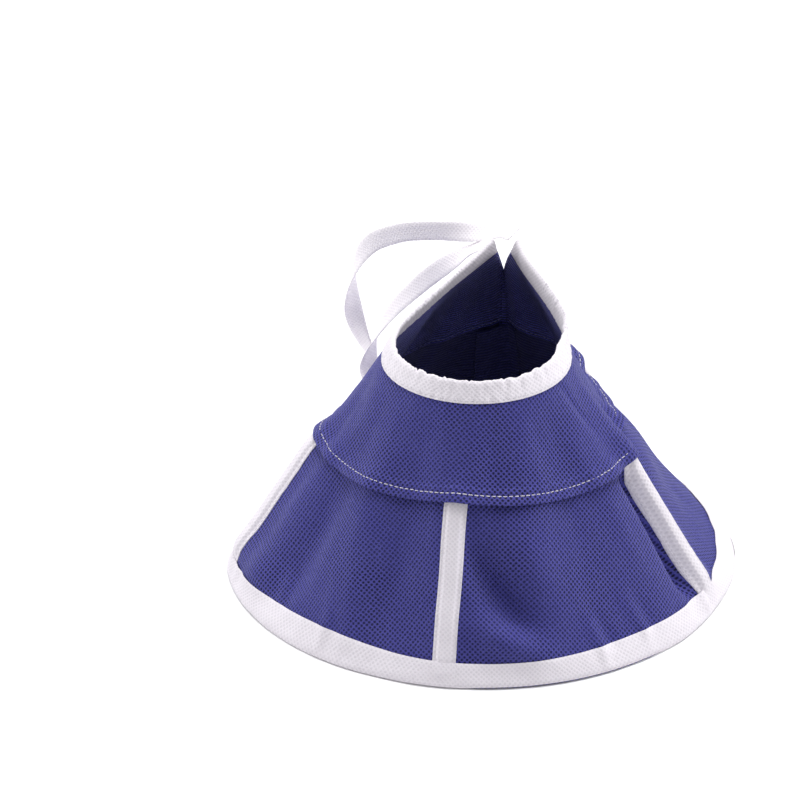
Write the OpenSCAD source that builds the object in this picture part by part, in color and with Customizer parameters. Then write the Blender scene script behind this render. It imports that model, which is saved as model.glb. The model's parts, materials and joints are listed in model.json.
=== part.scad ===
// Soft fabric cone collar for a cat or a small dog, standing on its hem with the neck up.
// The front is -Y and the lapped closure is at the back, +Y. The hem lies on z = 0.
// Angles run round the hem from the front, positive towards +X.

/* [Cone] */
// Diameter of the hem at the middle of the wall
hem_d = 271; // [200:1:400]
// How far the hem is drawn in from that circle between a side rib and the rib behind it
hem_draw = 6; // [0:1:20]
// Height of the neck edge at the front
front_h = 134; // [100:1:200]
// Height of the neck edge at the pointed tip above the closure
tip_h = 152; // [110:1:220]

/* [Neck opening] */
// Radius of the round front of the neck opening
neck_r = 42; // [32:1:60]
// How far the centre of the round part sits in front of the hem's centre
neck_shift = 20; // [5:1:35]
// How far the pointed tip lies behind the hem's centre
tip_back = 90; // [75:1:115]
// How far the neck edge is cut back at the closure, both corners together
notch_w = 16; // [8:1:22]
// Depth of that notch down the closure
notch_h = 26; // [16:1:40]

/* [Fabric] */
// Thickness of one layer of fabric
cloth_t = 0.5; // [0.3:0.1:0.8]
// Slant width of the yoke at the front
yoke_w = 61; // [45:1:75]
// Width of the binding tapes on the neck and the hem
bind_w = 12; // [9:0.5:15]

/* [Ribs] */
// Angle between two ribs, measured round the hem
rib_step = 71; // [64:1:74]
// Width of the tape over a rib
rib_w = 12; // [10:0.5:14]
// Width of the flexible stay inside a rib
stay_w = 6; // [4:0.5:7]
// Thickness of the stay
stay_t = 0.9; // [0.6:0.1:1.2]

/* [Closure and ties] */
// Width of the hook tape and of the loop tape
grip_w = 16; // [10:1:20]
// How far the underlap reaches behind the left wing
lap_w = 22; // [18:1:30]
// Width of a tie tape
tie_w = 11; // [8:0.5:13]

/* [Hidden] */

blue = [0.20, 0.20, 0.52];
navy = [0.06, 0.06, 0.22];
white = [0.93, 0.91, 0.94];
clear = [0.80, 0.82, 0.84];

hem_r = hem_d / 2;
// The neck outline in plan is an arc with two straight sides that meet at the tip
tip_reach = tip_back + neck_shift;
tip_half = asin(neck_r / tip_reach);
arc_turn = 90 + tip_half;
arc_len = neck_r * arc_turn * PI / 180;
side_len = tip_reach * cos(tip_half);
neck_half = arc_len + side_len;
slant = norm([hem_r - neck_shift - neck_r, front_h]);

// Distances out from the wall's middle face: the layers of cloth, the stay and the tapes
gap = 0.2;
lining_n = -gap;
binding_out = 1.6;
binding_in = -1.6;
yoke_top_n = 0.1;
yoke_low_n = 2.6;
stay_n = 0.65;
tape_n = 0.6;
// The fold lines run along the rib tapes' edges, and each gore stops short of them
fold_at = rib_w / 2 + 0.5;
fold_gap = 0.6;
closure_gap = 1.3;
facing_from = 0.03;
skirt_from = 0.30;
lining_from = 0.402;
skirt_to = 0.965;

// An edge is [angle of the rib or closure, distance from it round the wall]
front_right = [[0, -fold_at + fold_gap], [rib_step, fold_at - fold_gap]];
front_left = [[-rib_step, -fold_at + fold_gap], [0, -fold_at - fold_gap]];
back_right = [[rib_step, fold_at + fold_gap], [180, -closure_gap]];
back_left = [[-180, closure_gap], [-rib_step, -fold_at - fold_gap]];

function lerp(a, b, k) = a + (b - a) * k;
function unit(a) = a / norm(a);

function neck_arc(a) = [neck_r * sin(a), -neck_shift - neck_r * cos(a)];
function neck_plan(d) =
    d < arc_len ? neck_arc(d / neck_r * 180 / PI)
                : lerp(neck_arc(arc_turn), [0, tip_back], (d - arc_len) / side_len);
function neck_point(phi) =
    let (s = abs(phi) / 180, p = neck_plan(s * neck_half))
    [sign(phi) * p.x, p.y, lerp(front_h, tip_h, s * s)];
function hem_reach(phi) =
    let (near = max(0, 1 - abs(abs(phi) / rib_step - 1.5) * 2))
    hem_r - hem_draw * pow(sin(90 * near), 2);
function hem_point(phi) = [hem_reach(phi) * sin(phi), -hem_reach(phi) * cos(phi), 0];

// The wall runs straight from the neck, v = 0, to the hem, v = 1
function wall(phi, v) = lerp(neck_point(phi), hem_point(phi), v);
function outward(phi, v) =
    let (before = wall(max(phi - 0.5, -180), v), after = wall(min(phi + 0.5, 180), v))
    unit(cross(hem_point(phi) - neck_point(phi), after - before));
function layer(phi, v, n) = wall(phi, v) + n * outward(phi, v);

// Millimetres round the wall for one degree
function per_degree(v) = lerp(neck_half / 180, hem_r * PI / 180, v);
function notch(e, v) = abs(e.x) == 180 ? -sign(e.x) * notch_w / 2 * max(0, 1 - v * slant / notch_h) : 0;
function edge(e, v) = e.x + (e.y + notch(e, v)) / per_degree(v);
function across(gore, k, v) = lerp(edge(gore[0], v), edge(gore[1], v), k);
function steps(n) = [for (i = [0 : n]) i / n];
function columns(gore) = ceil((gore[1].x - gore[0].x) / 6);
function yoke_v(phi) = yoke_w / slant + 0.045 * sin(abs(phi));

// A closed sheet between two grids of points, rows down the wall and columns round it
module sheet(outer, inner) {
    rows = len(outer);
    cols = len(outer[0]);
    size = rows * cols;
    function two(a, b, c, d) = [[a, b, c], [a, c, d]];
    polyhedron(
        points = [each for (row = outer) row, each for (row = inner) row],
        faces = [
            for (i = [0 : rows - 2], j = [0 : cols - 2])
                let (a = i * cols + j, b = a + 1, c = b + cols, d = a + cols)
                each concat(two(a, b, c, d), [[size + a, size + c, size + b], [size + a, size + d, size + c]]),
            for (j = [0 : cols - 2])
                let (a = j, b = (rows - 1) * cols + j)
                each concat(two(a + 1, a, size + a, size + a + 1), two(b, b + 1, size + b + 1, size + b)),
            for (i = [0 : rows - 2])
                let (a = i * cols, b = a + cols - 1)
                each concat(two(a, a + cols, size + a + cols, size + a),
                            two(b + cols, b, size + b, size + b + cols))
        ]
    );
}

// One layer of a gore, from v0 down to v1, with its inner face n out from the wall
module gore_layer(gore, v0, v1, n, rows) {
    function face(n) = [
        for (i = steps(rows))
            [for (k = steps(columns(gore))) layer(across(gore, k, lerp(v0, v1, i)), lerp(v0, v1, i), n)]
    ];
    sheet(face(n + cloth_t), face(n));
}

// The yoke stands away from the wall towards its free lower edge
module yoke_layer(gore) {
    function at(i, k, lift) =
        let (mid = across(gore, k, yoke_w / slant), v = lerp(facing_from, yoke_v(mid), i))
        layer(across(gore, k, v), v, lerp(yoke_top_n, yoke_low_n, i) + lift);
    function face(lift) = [for (i = steps(5)) [for (k = steps(columns(gore))) at(i, k, lift)]];
    sheet(face(cloth_t), face(0));
}

// A tape folded over the neck edge; the profile is [out from the wall, down from the edge]
module neck_tape(gore) {
    function face(profile) = [
        for (p = profile)
            [for (k = steps(columns(gore))) layer(across(gore, k, p.y / slant), p.y / slant, p.x)]
    ];
    sheet(
        face([[binding_in, bind_w], [binding_in, 1], [-0.6, 0], [1, 0], [binding_out, 1], [binding_out, bind_w]]),
        face([[binding_in + cloth_t, bind_w], [binding_in + cloth_t, 1.3], [-0.4, 0.6], [0.8, 0.6],
              [binding_out - cloth_t, 1.3], [binding_out - cloth_t, bind_w]])
    );
}

// A tape folded under the hem, flat where it stands on the floor
module hem_tape(gore) {
    function high(n) = [
        for (k = steps(columns(gore)))
            layer(across(gore, k, 1 - bind_w / slant), 1 - bind_w / slant, n)
    ];
    function low(n, z) = [
        for (k = steps(columns(gore)))
            let (phi = across(gore, k, 1), out = outward(phi, 1), flat = norm([out.x, out.y]))
            hem_point(phi) + [out.x / flat, out.y / flat, 0] * (n / flat) + [0, 0, z]
    ];
    sheet(
        [high(binding_out), low(binding_out, 0), low(binding_in, 0), high(binding_in)],
        [high(binding_out - cloth_t), low(binding_out - cloth_t, cloth_t),
         low(binding_in + cloth_t, cloth_t), high(binding_in + cloth_t)]
    );
}

// A strip along a rib: the profile is [round the wall from the rib's middle, out from the wall]
module rib_strip(phi, outer, inner, v0, v1) {
    function face(profile) = [
        for (i = steps(6))
            let (v = lerp(v0, v1, i))
            [for (p = profile) layer(phi + p.x / per_degree(v), v, p.y)]
    ];
    sheet(face(outer), face(inner));
}

module rib_tape(phi) {
    half = rib_w / 2;
    top = stay_n + stay_t + 0.15;
    t = cloth_t - 0.1;
    w = stay_w / 2;
    color(white)
        rib_strip(
            phi,
            [[-half, tape_n + t], [-w - 0.8, tape_n + t], [-w - 0.4, top + t],
             [w + 0.4, top + t], [w + 0.8, tape_n + t], [half, tape_n + t]],
            [[-half, tape_n], [-w - 0.6, tape_n], [-w - 0.2, top],
             [w + 0.2, top], [w + 0.6, tape_n], [half, tape_n]],
            0.385, 1 - (bind_w + 0.5) / slant
        );
}

module rib_stay(phi) {
    w = stay_w / 2;
    color(clear)
        rib_strip(
            phi,
            [[-w, stay_n + stay_t], [w, stay_n + stay_t]],
            [[-w, stay_n], [w, stay_n]],
            0.36, 0.915
        );
}

module skirt(gore) {
    color(blue) gore_layer(gore, skirt_from, skirt_to, 0, 5);
}

module lining(gore) {
    color(navy) gore_layer(gore, lining_from, skirt_to, lining_n - cloth_t, 4);
}

module facing(gore) {
    color(navy) gore_layer(gore, facing_from, lining_from - 0.002, lining_n - cloth_t, 4);
}

module yoke(gore) {
    color(blue) yoke_layer(gore);
}

module hem_binding(gore) {
    color(white) hem_tape(gore);
}

module neck_binding(gore) {
    color(white) neck_tape(gore);
}

// The closure: a strip sewn inside the right wing's edge reaches behind the left wing
underlap_n = -3.8;
loop_n = -3.1;
hook_n = -1.7;
lap_from = 0.41;
lap_to = 0.90;

function behind_left(d, v, n) = layer(-180 + d / per_degree(v), v, n);
function inside_right(d, v, n) = layer(180 - d / per_degree(v), v, n);

module closure_underlap() {
    function face(lift) = [
        for (i = steps(8))
            let (v = lerp(lap_from, lap_to, i))
            [behind_left(lap_w, v, underlap_n + lift), behind_left(lap_w * 0.6, v, underlap_n + lift),
             behind_left(3, v, underlap_n + lift), inside_right(4, v, -2.2 + lift),
             inside_right(10, v, -1.5 + lift)]
    ];
    mirrored = [for (row = face(cloth_t)) [for (k = [len(row) - 1 : -1 : 0]) row[k]]];
    mirrored_in = [for (row = face(0)) [for (k = [len(row) - 1 : -1 : 0]) row[k]]];
    color(navy) sheet(mirrored, mirrored_in);
}

module grip_strip(n, thick, start) {
    function face(lift) = [
        for (i = steps(8))
            let (v = lerp(lap_from + 0.03, lap_to - 0.03, i))
            [for (k = steps(3)) behind_left(start + k * grip_w, v, n + lift)]
    ];
    sheet(face(thick), face(0));
}

module loop_tape() {
    color(navy) grip_strip(loop_n, 0.8, 3.5);
}

module hook_tape() {
    color(navy) grip_strip(hook_n, 0.8, 2);
}

// The ties: routes from the two corners of the closure down to the floor behind the collar
tie_right_route = [
    [2, 90, 149], [-3, 94, 149], [-10, 98, 147], [-24, 104, 144], [-40, 110, 141], [-56, 116, 137],
    [-67, 121, 132], [-79, 127, 124], [-88, 133, 111], [-93, 140, 93], [-94, 148, 72], [-90, 156, 50],
    [-82, 164, 30], [-69, 172, 12], [-53, 178, 3], [-35, 182, 1], [-16, 184, 1], [3, 184, 1],
    [21, 182, 1],
];
tie_left_route = [
    [-8, 89, 145], [-14, 92, 141], [-22, 97, 134], [-33, 103, 124], [-43, 108, 114], [-53, 112, 103],
    [-63, 116, 91], [-72, 120, 77], [-79, 125, 61], [-82, 131, 43], [-80, 138, 26], [-73, 146, 12],
    [-60, 153, 3], [-44, 158, 1], [-26, 161, 1], [-8, 162, 1], [10, 163, 1], [27, 162, 1],
];
tie_t = 1.2;

function tie_turn(z) = max(0, min(1, (130 - z) / 100));
function tie_side(dir, z) =
    let (flat = unit(cross(dir, [0, 0, 1])), up = unit(cross(flat, dir)), turn = tie_turn(z) * 90)
    up * cos(turn) + flat * sin(turn);
function tie_ring(p, dir) =
    let (side = tie_side(dir, p.z), face = cross(dir, side), w = tie_w / 2, t = tie_t / 2)
    [for (q = [[w, t / 2], [w - 1, t], [1 - w, t], [-w, t / 2],
               [-w, -t / 2], [1 - w, -t], [w - 1, -t], [w, -t / 2]])
        p + side * q.x + face * q.y];

module tie(route) {
    last = len(route) - 1;
    rings = [
        for (i = [0 : last])
            tie_ring(route[i], unit(route[min(i + 1, last)] - route[max(i - 1, 0)]))
    ];
    sides = len(rings[0]);
    color(white)
        polyhedron(
            points = [each for (ring = rings) ring],
            faces = [
                for (i = [0 : last - 1], j = [0 : sides - 1])
                    let (a = i * sides + j, b = i * sides + (j + 1) % sides, c = b + sides, d = a + sides)
                    each [[a, c, b], [a, d, c]],
                [for (j = [0 : sides - 1]) j],
                [for (j = [sides - 1 : -1 : 0]) last * sides + j]
            ]
        );
}

skirt(front_right);  // skirt_front_right
lining(front_right);  // lining_front_right
facing(front_right);  // facing_front_right
yoke(front_right);  // yoke_front_right
hem_binding(front_right);  // hem_binding_front_right
neck_binding(front_right);  // neck_binding_front_right
skirt(front_left);  // skirt_front_left
lining(front_left);  // lining_front_left
facing(front_left);  // facing_front_left
yoke(front_left);  // yoke_front_left
hem_binding(front_left);  // hem_binding_front_left
neck_binding(front_left);  // neck_binding_front_left
skirt(back_right);  // skirt_back_right
lining(back_right);  // lining_back_right
facing(back_right);  // facing_back_right
yoke(back_right);  // yoke_back_right
hem_binding(back_right);  // hem_binding_back_right
neck_binding(back_right);  // neck_binding_back_right
skirt(back_left);  // skirt_back_left
lining(back_left);  // lining_back_left
facing(back_left);  // facing_back_left
yoke(back_left);  // yoke_back_left
hem_binding(back_left);  // hem_binding_back_left
neck_binding(back_left);  // neck_binding_back_left
rib_tape(0);  // rib_tape_front
rib_tape(rib_step);  // rib_tape_right
rib_tape(-rib_step);  // rib_tape_left
rib_tape(2 * rib_step);  // rib_tape_back_right
rib_tape(-2 * rib_step);  // rib_tape_back_left
rib_stay(0);  // rib_stay_front
rib_stay(rib_step);  // rib_stay_right
rib_stay(-rib_step);  // rib_stay_left
rib_stay(2 * rib_step);  // rib_stay_back_right
rib_stay(-2 * rib_step);  // rib_stay_back_left
closure_underlap();
loop_tape();
hook_tape();
tie(tie_right_route);  // tie_right
tie(tie_left_route);  // tie_left
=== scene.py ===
"""Looks of the soft fabric cone collar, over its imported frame.

Lengths are in metres. Angles go round the hem in degrees, from the front (-Y) and positive towards +X.
v runs down the wall, from 0 at the neck to 1 at the hem.
"""

import json
import math

import bpy
import numpy as np
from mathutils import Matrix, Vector

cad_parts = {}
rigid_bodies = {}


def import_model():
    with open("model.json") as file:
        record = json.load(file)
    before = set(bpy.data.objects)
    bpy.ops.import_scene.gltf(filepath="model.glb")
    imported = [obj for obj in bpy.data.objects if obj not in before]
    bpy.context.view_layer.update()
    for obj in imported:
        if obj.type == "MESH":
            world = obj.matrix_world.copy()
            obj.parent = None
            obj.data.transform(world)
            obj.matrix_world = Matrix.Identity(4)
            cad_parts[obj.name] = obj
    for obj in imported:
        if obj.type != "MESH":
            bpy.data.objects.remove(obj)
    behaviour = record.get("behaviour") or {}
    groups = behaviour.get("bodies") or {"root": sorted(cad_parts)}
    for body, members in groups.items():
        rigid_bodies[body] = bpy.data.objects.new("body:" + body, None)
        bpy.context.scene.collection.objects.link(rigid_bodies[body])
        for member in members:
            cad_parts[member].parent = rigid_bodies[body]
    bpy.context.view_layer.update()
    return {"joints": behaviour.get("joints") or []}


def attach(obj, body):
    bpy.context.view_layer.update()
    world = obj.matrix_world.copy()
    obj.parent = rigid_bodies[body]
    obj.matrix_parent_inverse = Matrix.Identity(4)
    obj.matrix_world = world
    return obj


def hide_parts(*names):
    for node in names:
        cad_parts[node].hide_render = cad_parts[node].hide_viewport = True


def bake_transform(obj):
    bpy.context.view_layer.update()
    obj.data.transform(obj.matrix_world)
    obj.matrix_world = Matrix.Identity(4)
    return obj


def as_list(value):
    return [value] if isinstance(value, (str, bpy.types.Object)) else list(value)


for stray in list(bpy.data.objects):
    bpy.data.objects.remove(stray)
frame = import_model()

MM = 0.001

# The cone, by the same formulas as the CAD model
HEM_R = 0.1355
HEM_DRAW = 0.006
FRONT_H = 0.134
TIP_H = 0.152
NECK_R = 0.042
NECK_SHIFT = 0.020
TIP_BACK = 0.090
NOTCH_W = 0.016
NOTCH_H = 0.026
YOKE_W = 0.061
RIB_STEP = 71.0
TIP_HALF = math.asin(NECK_R / (TIP_BACK + NECK_SHIFT))
ARC_TURN = math.pi / 2 + TIP_HALF
ARC_LEN = NECK_R * ARC_TURN
SIDE_LEN = (TIP_BACK + NECK_SHIFT) * math.cos(TIP_HALF)
NECK_HALF = ARC_LEN + SIDE_LEN
SLANT = math.hypot(HEM_R - NECK_SHIFT - NECK_R, FRONT_H)
NECK_PER_DEGREE = NECK_HALF / 180
HEM_PER_DEGREE = HEM_R * math.pi / 180
RIBS = (0.0, RIB_STEP, -RIB_STEP, 2 * RIB_STEP, -2 * RIB_STEP)
GORES = {
    "front_right": (0.0, RIB_STEP),
    "front_left": (-RIB_STEP, 0.0),
    "back_right": (RIB_STEP, 180.0),
    "back_left": (-180.0, -RIB_STEP),
}


def smooth(x, low, high):
    """0 below low, 1 above high, with an even S between them."""
    t = np.clip((x - low) / (high - low), 0.0, 1.0)
    return t * t * (3 - 2 * t)


def bell(x, width):
    """1 at x = 0, falling off evenly to both sides over about width."""
    return np.exp(-((x / width) ** 2))


def unit(a):
    return a / np.linalg.norm(a, axis=-1, keepdims=True)


def neck_point(phi):
    """The neck edge: an arc round the front, then straight from each end of it to the tip at the back."""
    s = np.abs(phi) / 180
    d = s * NECK_HALF
    turn = np.minimum(d, ARC_LEN) / NECK_R
    k = np.clip((d - ARC_LEN) / SIDE_LEN, 0.0, 1.0)
    x = NECK_R * np.sin(turn) * (1 - k)
    y = (-NECK_SHIFT - NECK_R * np.cos(turn)) * (1 - k) + TIP_BACK * k
    return np.stack([np.sign(phi) * x, y, FRONT_H + (TIP_H - FRONT_H) * s * s], -1)


# How the soft hem lies, over the CAD's even draw: in behind the left rib, and out behind the right one
LEFT_LIE = 0.008
RIGHT_LIE = -0.012
# How far the neck edge turns out, and how far the notch's corners lean apart, on the right and on the left
NECK_FLARE = 10.0 * MM, 2.0 * MM
CORNER_LEAN = 3.2 * MM, 0.8 * MM


def hem_point(phi):
    """The hem: a circle on the floor, drawn in between the side ribs and the back ribs."""
    a = np.radians(phi)
    near = np.maximum(0.0, 1 - 2 * np.abs(np.abs(phi) / RIB_STEP - 1.5))
    draw = (HEM_DRAW + np.where(phi < 0, LEFT_LIE, RIGHT_LIE)) * np.sin(np.radians(90 * near)) ** 2
    r = HEM_R - draw
    return np.stack([r * np.sin(a), -r * np.cos(a), np.zeros_like(a)], -1)


def wall(phi, v):
    """The even cone, with its soft neck edge turned out and the notch's corners leaning apart."""
    right, turn = phi > 0, np.abs(phi)
    lean = np.where(right, *CORNER_LEAN) * smooth(turn, 150, 180) * (1 - smooth(v, 0.0, 0.17))
    flare = np.where(right, *NECK_FLARE) * smooth(turn, 64, 98) * (1 - 0.68 * smooth(turn, 108, 180))
    flare = flare * np.clip(1 - v / 0.11, 0, 1.05) ** 1.5
    x = np.where(right, 1.0, -1.0) * (lean + flare * math.cos(TIP_HALF))
    y = flare * math.sin(TIP_HALF)
    v = v[..., None]
    return neck_point(phi) * (1 - v) + hem_point(phi) * v + np.stack([x, y, np.zeros_like(x)], -1)


def outward(phi, v):
    """The direction straight out of the wall."""
    round_ = wall(np.minimum(phi + 0.5, 180.0), v) - wall(np.maximum(phi - 0.5, -180.0), v)
    return unit(np.cross(hem_point(phi) - neck_point(phi), round_))


def per_degree(v):
    """The length of one degree round the wall."""
    return NECK_PER_DEGREE + (HEM_PER_DEGREE - NECK_PER_DEGREE) * v


def yoke_end(phi):
    """v of the yoke's free lower edge, which hangs lower at the sides."""
    return YOKE_W / SLANT + 0.045 * np.sin(np.radians(np.abs(phi)))


def rib_angle(angle, v):
    """Where a rib runs; the right one drifts a little backwards towards the hem."""
    return angle + (1.8 * smooth(v, 0.36, 0.95) if angle == RIB_STEP else 0.0)


def rib_distance(phi, v):
    """The distance round the wall to the nearest rib."""
    return np.min([np.abs(phi - r) for r in RIBS], axis=0) * per_degree(v)


# Ripples are laid out at the same size all the way down, by the length of a degree half way down
RIPPLE_PER_DEGREE = 0.0019


def waves(phi, v, seed, count, longest, shortest, along):
    """Smooth unrepeating ripples of about unit height; along stretches them down the wall."""
    rng = np.random.RandomState(seed)
    x = phi * RIPPLE_PER_DEGREE
    y = v * SLANT / along
    total = 0.0
    for _ in range(count):
        size = longest * (shortest / longest) ** rng.rand()
        turn = rng.uniform(0, math.pi)
        total = total + np.sin(
            2 * math.pi * (x * math.cos(turn) + y * math.sin(turn)) / size + rng.uniform(0, 6.28)
        )
    return total * math.sqrt(2 / count)


def dent(phi, v, at, along, across, turn):
    """A smooth mound of height 1 at (angle, v); turn is its long axis, from round the wall to down it."""
    x = (phi - at[0]) * per_degree(v)
    y = (v - at[1]) * SLANT
    c, s = math.cos(math.radians(turn)), math.sin(math.radians(turn))
    return np.exp(-(((x * c + y * s) / along) ** 2) - ((y * c - x * s) / across) ** 2)


def tilt(phi, v, angle, out):
    """The cloth turned about a rib: in before it, out behind it, and fading beyond its tape."""
    x = np.sign(angle) * (phi - angle) * per_degree(v)
    return out * np.clip(x / (6 * MM), -1.15, 1.1) * (1 - smooth(np.abs(x), 8 * MM, 24 * MM))


def dents(phi, v, table):
    """The sum of a table's dents, each of which is (height in mm, (angle, v), along, across, turn)."""
    return sum(height * MM * dent(phi, v, *shape) for height, *shape in table)


# The yoke is drawn in behind the right rib
YOKE_DENTS = (
    (-9.0, (91.0, 0.36), 0.040, 0.017, 90),
    (-7.0, (115.0, 0.36), 0.024, 0.032, 90),
)
# The long diagonal dent beside the front rib, and the small folds between them
LONG_DENT = ((-7.6, (13.5, 0.70), 0.024, 0.0075, 57),)
FRONT_RIB_FOLDS = (
    (-1.2, (5.5, 0.56), 0.022, 0.006, 84),
    (1.8, (6.5, 0.72), 0.022, 0.005, 74),
)
# In turn: the hollow behind the right rib, the swelling by the left rib's foot, the rolls below and above the
# long dent, an upright fold in each front gore, and the crease across the yoke
OPEN_DENTS = (
    (-10.0, (102.0, 0.77), 0.040, 0.030, 0),
    (2.2, (-60.0, 0.88), 0.026, 0.011, 0),
    (7.4, (15.0, 0.855), 0.022, 0.0085, 24),
    (3.0, (21.0, 0.58), 0.024, 0.011, 62),
    (1.4, (57.0, 0.70), 0.045, 0.012, 90),
    (-1.3, (-17.0, 0.66), 0.050, 0.012, 84),
    (-1.3, (55.0, 0.17), 0.018, 0.0024, 68),
)
# Soft upright pleats in the front left gore
PLEATS = (
    (3.2, (-57.0, 0.66), 0.055, 0.010, 90),
    (-4.6, (-46.0, 0.66), 0.060, 0.011, 97),
)
# Puckers where the hem tape gathers the cloth, as (angle, v, height in mm), each with a furrow beside it
GATHERS = ((36.0, 0.885, 1.4), (48.0, 0.875, 1.2), (-30.0, 0.88, 0.8), (-48.0, 0.87, 0.9))
GATHER_SHAPE = 0.012, 0.0035, 78


def sag(phi, v, rib):
    """The cloth between the stays: a little slack, with long soft ripples and fine ones."""
    free = smooth(rib, 3 * MM, 16 * MM) * smooth(180 - np.abs(phi), 0.5, 9.0)
    soft = -1.3 * MM + 0.90 * MM * waves(phi, v, 4, 9, 0.090, 0.045, 3.2)
    soft = soft + 0.09 * MM * waves(phi, v, 9, 12, 0.026, 0.012, 2.2)
    fine = 0.20 * MM * waves(phi, v, 21, 9, 0.030, 0.014, 5.0)
    return free * (smooth(v, 0.03, 0.30) * smooth(1 - v, 0.0, 0.22) * soft
                   + smooth(1 - v, 0.0, 0.05) * smooth(v, 0.3, 0.7) * fine)


def right_rib_folds(phi, v, near_hem):
    """The right rib is raised and turned to the front, with a valley in the skirt in front of it."""
    x = (phi - RIB_STEP) * per_degree(v)
    turned = tilt(phi, v, rib_angle(RIB_STEP, v), MM * (1.6 + 1.4 * smooth(v, 0.45, 0.85)))
    raised = 3.4 * MM * bell(x, 13 * MM)
    valley = 8.0 * MM * bell(x + 10.5 * MM - 4.0 * MM * v, 5.0 * MM)
    below_yoke = smooth(v, 0.42, 0.50) * smooth(1 - v, 0.05, 0.17)
    return near_hem * (smooth(v, 0.30, 0.42) * turned + smooth(v, 0.06, 0.38) * raised - below_yoke * valley)


def left_rib_folds(phi, v, near_hem):
    """The left rib stands out below the yoke, and turns a little."""
    raised = 4.2 * MM * bell((phi + RIB_STEP) * per_degree(v), 20 * MM)
    return smooth(v, 0.34, 0.50) * near_hem * (raised + tilt(phi, v, -RIB_STEP, 1.0 * MM))


def relief(phi, v):
    """How far the cloth stands out of the even cone: sag between the stays, folds and dents."""
    rib = rib_distance(phi, v)
    near_hem = smooth(1 - v, 0.0, 0.12)
    out = sag(phi, v, rib) + right_rib_folds(phi, v, near_hem) + left_rib_folds(phi, v, near_hem)
    out = out + smooth(v, 0.06, 0.17) * dents(phi, v, YOKE_DENTS)
    out = out + smooth(rib, 2 * MM, 8 * MM) * dents(phi, v, LONG_DENT)
    out = out + smooth(rib, 2 * MM, 6 * MM) * dents(phi, v, FRONT_RIB_FOLDS)
    out = out + dents(phi, v, OPEN_DENTS) + near_hem * dents(phi, v, PLEATS)
    for angle, level, height in GATHERS:
        pucker = (height, (angle, level), *GATHER_SHAPE)
        furrow = (-0.7 * height, (angle + 3.0, level), *GATHER_SHAPE)
        out = out + dents(phi, v, (pucker, furrow))
    return out


def layer(phi, v, n):
    """Points n out from the wall, on the cloth's own folds."""
    return wall(phi, v) + (n + relief(phi, v))[..., None] * outward(phi, v)


def flat(phi, v, middle):
    """The flat pattern of the cone: where each point lies on the cloth before it is sewn."""
    rise = HEM_PER_DEGREE - NECK_PER_DEGREE
    turn = (phi - middle) * rise / SLANT
    r = SLANT * (NECK_PER_DEGREE / rise + v)
    return np.stack([r * np.sin(turn), -r * np.cos(turn)], -1)


def level_map(phi, v):
    """A cloth map whose rows run level round the wall."""
    return np.stack([phi * per_degree(0.5), v * SLANT], -1)


def strip_map(run, v):
    """A cloth map for a strip down the wall, with run across it."""
    return np.stack(np.broadcast_arrays(run[None, :], (v * SLANT)[:, None]), -1)


def notch_cut(v):
    """How far the notch cuts into each side of the closure."""
    return NOTCH_W / 2 * np.maximum(0.0, 1 - v * SLANT / NOTCH_H)


def gore_edge(phi, v, gap):
    """The edge of a gore; at the closure it is cut back by the notch and by gap."""
    if abs(phi) < 180:
        return np.full_like(v, phi)
    cut = notch_cut(v) + gap
    return phi - math.copysign(1.0, phi) * cut / per_degree(v)


def gore_grid(gore, v, gap, step):
    """Angles and v over a gore, for rows at the given v, which may differ along a row."""
    low, high = GORES[gore]
    cols = int(math.ceil((high - low) * HEM_PER_DEGREE / step)) + 1
    k = np.linspace(0, 1, cols)[None, :]
    v = np.broadcast_to(np.asarray(v, float).reshape(len(v), -1), (len(v), cols)).copy()
    left, right = gore_edge(low, v, gap), gore_edge(high, v, gap)
    return left * (1 - k) + right * k, v


# Meshes


def new_object(name, points, faces, uv, material, sharp=42):
    """A smooth mesh object; edges that turn by more than sharp degrees stay sharp."""
    mesh = bpy.data.meshes.new(name)
    mesh.from_pydata(points.reshape(-1, 3).tolist(), [], faces)
    uv_layer = mesh.uv_layers.new(name="UVMap")
    corner = np.empty(len(mesh.loops), np.int32)
    mesh.loops.foreach_get("vertex_index", corner)
    uv_layer.data.foreach_set("uv", uv.reshape(-1, 2)[corner].astype(np.float32).ravel())
    mesh.materials.append(material)
    mesh.shade_smooth()
    mesh.set_sharp_from_angle(angle=math.radians(sharp))
    mesh.validate()
    obj = bpy.data.objects.new(name, mesh)
    bpy.context.scene.collection.objects.link(obj)
    return obj


def grid_faces(index):
    """The quads of a grid of point numbers."""
    a, b, c, d = index[:-1, :-1], index[:-1, 1:], index[1:, 1:], index[1:, :-1]
    return np.stack([a, d, c, b], -1).reshape(-1, 4)


def shell(name, outer, inner, uv, material):
    """A closed piece of cloth between two grids of points, rows down the wall and columns round it."""
    rows, cols = outer.shape[:2]
    n = rows * cols
    index = np.arange(n).reshape(rows, cols)
    top, low = index[0], index[-1]
    left, right = index[:, 0], index[:, -1]

    def rim(first, second):
        return np.stack([first, second, second + n, first + n], -1)

    faces = np.concatenate([
        grid_faces(index), grid_faces(index)[:, ::-1] + n,
        rim(top[:-1], top[1:]), rim(low[1:], low[:-1]),
        rim(left[1:], left[:-1]), rim(right[:-1], right[1:]),
    ])
    points = np.concatenate([outer.reshape(-1, 3), inner.reshape(-1, 3)])
    both = np.concatenate([uv.reshape(-1, 2), uv.reshape(-1, 2)])
    return new_object(name, points, faces.tolist(), both, material)


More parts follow.
